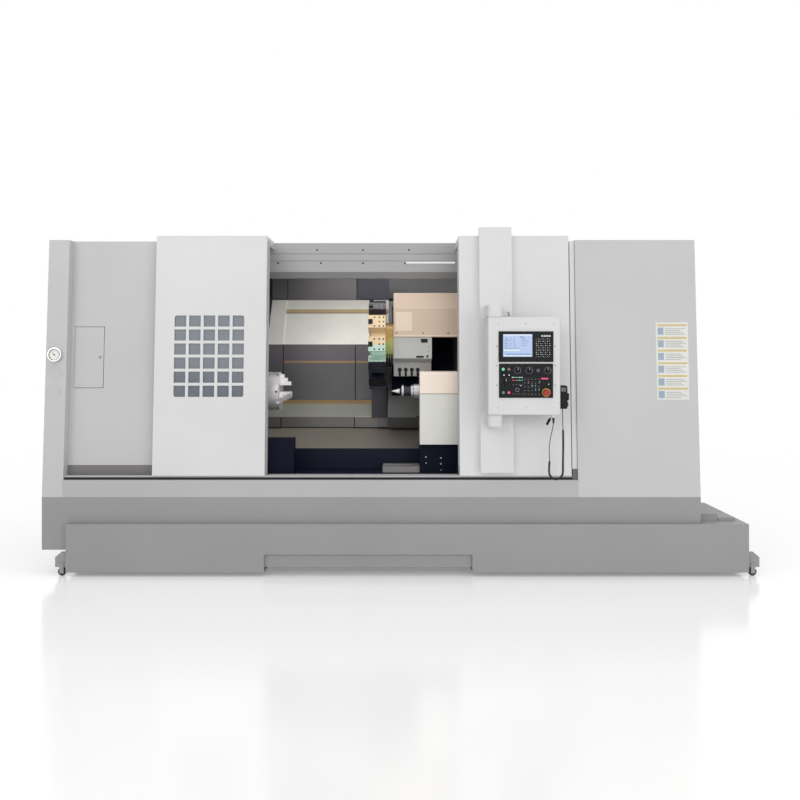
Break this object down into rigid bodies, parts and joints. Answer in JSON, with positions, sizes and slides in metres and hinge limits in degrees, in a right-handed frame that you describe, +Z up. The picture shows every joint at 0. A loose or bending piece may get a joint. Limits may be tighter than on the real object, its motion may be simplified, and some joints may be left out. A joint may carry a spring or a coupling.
{
  "type": "cnc turning lathe",
  "caption": "Enclosed slant-bed turning lathe with sliding front doors, swivelling operator's panel, tool turret, chuck, tailstock and a roll-out coolant tank.",
  "frame": {"origin": "on the floor, under the middle of the machine's bounding box", "axes": "+X along the spindle to the operator's right, +Y to the back, +Z up"},
  "size_m": [4.8, 2.3, 2.342],
  "materials": {
    "door_paint": "satin",
    "cabinet_paint": "satin",
    "base_paint": "satin",
    "sill_paint": "satin",
    "header_paint": "satin",
    "casting": "matte",
    "cover_sheet": "satin",
    "guard_paint": "satin",
    "machined_steel": "satin",
    "turret_paint": "satin",
    "turret_cover_paint": "satin",
    "tailstock_paint": "satin",
    "motor_paint": "satin",
    "belt_rubber": "matte",
    "cord_rubber": "satin",
    "wheel_plastic": "satin",
    "window_glass": "gloss",
    "black_plastic": "satin",
    "red_plastic": "gloss",
    "green_plastic": "gloss",
    "foot_steel": "satin",
    "gauge_metal": "gloss"
  },
  "bodies": {
    "base": {"bed_casting": "casting", "base_skirt": "base_paint", "door_sill": "sill_paint", "left_cabinet": "cabinet_paint", "right_cabinet": "cabinet_paint", "rear_cover": "cabinet_paint", "header_beam": "header_paint", "inner_walls": "guard_paint", "chip_guard": "cover_sheet", "way_cover_fixed": "cover_sheet", "z_servo": "motor_paint", "headstock": "casting", "spindle_motor": "motor_paint", "drive_belt": "belt_rubber", "coolant_tank": "base_paint", "levelling_feet": "foot_steel", "pressure_gauge": "gauge_metal"},
    "hatch": {"side_hatch": "cabinet_paint"},
    "wheel_left_front": {"wheel_left_front": "wheel_plastic"},
    "wheel_left_rear": {"wheel_left_rear": "wheel_plastic"},
    "wheel_right_front": {"wheel_right_front": "wheel_plastic"},
    "wheel_right_rear": {"wheel_right_rear": "wheel_plastic"},
    "spindle": {"spindle": "machined_steel", "chuck_body": "machined_steel"},
    "draw_tube": {"draw_tube": "machined_steel"},
    "jaw_1": {"chuck_jaw_1": "machined_steel"},
    "jaw_2": {"chuck_jaw_2": "machined_steel"},
    "jaw_3": {"chuck_jaw_3": "machined_steel"},
    "motor_pulley": {"motor_pulley": "machined_steel"},
    "ball_screw": {"z_ball_screw": "machined_steel"},
    "carriage": {"saddle": "casting", "way_cover_inner": "cover_sheet"},
    "left_cover": {"way_cover_left": "cover_sheet"},
    "right_cover": {"way_cover_right": "cover_sheet"},
    "cross_slide": {"cross_slide": "casting", "turret_body": "turret_paint", "turret_cover": "turret_cover_paint"},
    "turret": {"turret_disc": "machined_steel", "tool_blocks": "machined_steel"},
    "tailstock": {"tailstock_base": "guard_paint", "tailstock_body": "tailstock_paint"},
    "quill": {"quill": "machined_steel"},
    "live_centre": {"live_centre": "machined_steel"},
    "left_door": {"left_door": "door_paint", "door_window": "window_glass"},
    "right_door": {"right_door": "door_paint", "panel_column": "door_paint"},
    "panel": {"control_box": "door_paint", "screen_unit": "black_plastic", "switch_panel": "black_plastic", "pendant": "black_plastic", "strain_relief": "cord_rubber", "cord_lead_a": "cord_rubber", "cord_curl": "cord_rubber", "cord_lead_b": "cord_rubber"},
    "emergency_stop": {"emergency_stop": "red_plastic"},
    "start_button": {"start_button": "green_plastic"},
    "mode_knob": {"mode_knob": "black_plastic"},
    "feed_knob": {"feed_knob": "black_plastic"},
    "pendant_wheel": {"pendant_wheel": "black_plastic"}
  },
  "joints": [
    {"name": "left_door_slide", "type": "slide", "parent": "base", "child": "left_door", "axis": [1, 0, 0], "range_m": [0, 0.656]},
    {"name": "right_door_slide", "type": "slide", "parent": "base", "child": "right_door", "axis": [1, 0, 0], "range_m": [-0.656, 0]},
    {"name": "panel_swivel", "type": "hinge", "parent": "right_door", "child": "panel", "pos_m": [0.62, -1.025, 1.4], "axis": [0, 0, 1], "range_deg": [-90, 0]},
    {"name": "hatch_hinge", "type": "hinge", "parent": "base", "child": "hatch", "pos_m": [-2.232, -0.72637, 1.39976], "axis": [0, 0.0802, 0.9968], "range_deg": [-95, 0]},
    {"name": "carriage_slide", "type": "slide", "parent": "base", "child": "carriage", "axis": [1, 0, 0], "range_m": [-0.5, 0.22]},
    {"name": "left_cover_slide", "type": "slide", "parent": "base", "child": "left_cover", "axis": [1, 0, 0], "range_m": [-0.35, 0.154]},
    {"name": "right_cover_slide", "type": "slide", "parent": "base", "child": "right_cover", "axis": [1, 0, 0], "range_m": [-0.25, 0.11]},
    {"name": "ball_screw_turn", "type": "hinge", "parent": "base", "child": "ball_screw", "pos_m": [0, 0.28426, 1.23475], "axis": [1, 0, 0], "range_deg": [-15010, 6610]},
    {"name": "cross_slide_travel", "type": "slide", "parent": "carriage", "child": "cross_slide", "axis": [0, 0.5, 0.866], "range_m": [-0.06, 0.2]},
    {"name": "turret_index", "type": "hinge", "parent": "cross_slide", "child": "turret", "pos_m": [0, -0.2725, 1.55042], "axis": [1, 0, 0], "continuous": true},
    {"name": "spindle_turn", "type": "hinge", "parent": "base", "child": "spindle", "pos_m": [0, -0.465, 1.217], "axis": [1, 0, 0], "continuous": true},
    {"name": "motor_pulley_turn", "type": "hinge", "parent": "base", "child": "motor_pulley", "pos_m": [0, 0.265, 0.8], "axis": [1, 0, 0], "continuous": true},
    {"name": "draw_tube_slide", "type": "slide", "parent": "spindle", "child": "draw_tube", "axis": [-1, 0, 0], "range_m": [0, 0.02]},
    {"name": "jaw_1_slide", "type": "slide", "parent": "spindle", "child": "jaw_1", "axis": [0, 0, -1], "range_m": [0, 0.006]},
    {"name": "jaw_2_slide", "type": "slide", "parent": "spindle", "child": "jaw_2", "axis": [0, 0.866, 0.5], "range_m": [0, 0.006]},
    {"name": "jaw_3_slide", "type": "slide", "parent": "spindle", "child": "jaw_3", "axis": [0, -0.866, 0.5], "range_m": [0, 0.006]},
    {"name": "tailstock_slide", "type": "slide", "parent": "base", "child": "tailstock", "axis": [1, 0, 0], "range_m": [-0.15, 0.45]},
    {"name": "quill_slide", "type": "slide", "parent": "tailstock", "child": "quill", "axis": [-1, 0, 0], "range_m": [0, 0.12]},
    {"name": "live_centre_turn", "type": "hinge", "parent": "quill", "child": "live_centre", "pos_m": [0, -0.465, 1.217], "axis": [1, 0, 0], "continuous": true},
    {"name": "wheel_left_front_turn", "type": "hinge", "parent": "base", "child": "wheel_left_front", "pos_m": [-2.259, -0.895, 0.027], "axis": [0, 1, 0], "continuous": true},
    {"name": "wheel_left_rear_turn", "type": "hinge", "parent": "base", "child": "wheel_left_rear", "pos_m": [-2.259, -0.485, 0.027], "axis": [0, 1, 0], "continuous": true},
    {"name": "wheel_right_front_turn", "type": "hinge", "parent": "base", "child": "wheel_right_front", "pos_m": [2.356, -0.895, 0.027], "axis": [0, 1, 0], "continuous": true},
    {"name": "wheel_right_rear_turn", "type": "hinge", "parent": "base", "child": "wheel_right_rear", "pos_m": [2.356, -0.025, 0.027], "axis": [0, 1, 0], "continuous": true},
    {"name": "emergency_stop_push", "type": "slide", "parent": "panel", "child": "emergency_stop", "axis": [0, 1, 0], "range_m": [0, 0.006]},
    {"name": "start_button_push", "type": "slide", "parent": "panel", "child": "start_button", "axis": [0, 1, 0], "range_m": [0, 0.0035], "stiffness_N_per_m": 400},
    {"name": "mode_knob_turn", "type": "hinge", "parent": "panel", "child": "mode_knob", "pos_m": [0.6845, -1.105, 1.298], "axis": [0, 1, 0], "range_deg": [-135, 135]},
    {"name": "feed_knob_turn", "type": "hinge", "parent": "panel", "child": "feed_knob", "pos_m": [0.836, -1.105, 1.374], "axis": [0, 1, 0], "range_deg": [-150, 150]},
    {"name": "pendant_wheel_turn", "type": "hinge", "parent": "panel", "child": "pendant_wheel", "pos_m": [1.1, -1.025, 1.2], "axis": [1, 0, 0], "continuous": true}
  ],
  "couplings": [
    {"joint": "left_cover_slide", "follows": "carriage_slide", "ratio": 0.7},
    {"joint": "right_cover_slide", "follows": "carriage_slide", "ratio": 0.5},
    {"joint": "ball_screw_turn", "follows": "carriage_slide", "rad_per_m": 523.6},
    {"joint": "motor_pulley_turn", "follows": "spindle_turn", "ratio": 1.4375},
    {"joint": "jaw_1_slide", "follows": "draw_tube_slide", "ratio": 0.3},
    {"joint": "jaw_2_slide", "follows": "draw_tube_slide", "ratio": 0.3},
    {"joint": "jaw_3_slide", "follows": "draw_tube_slide", "ratio": 0.3}
  ]
}
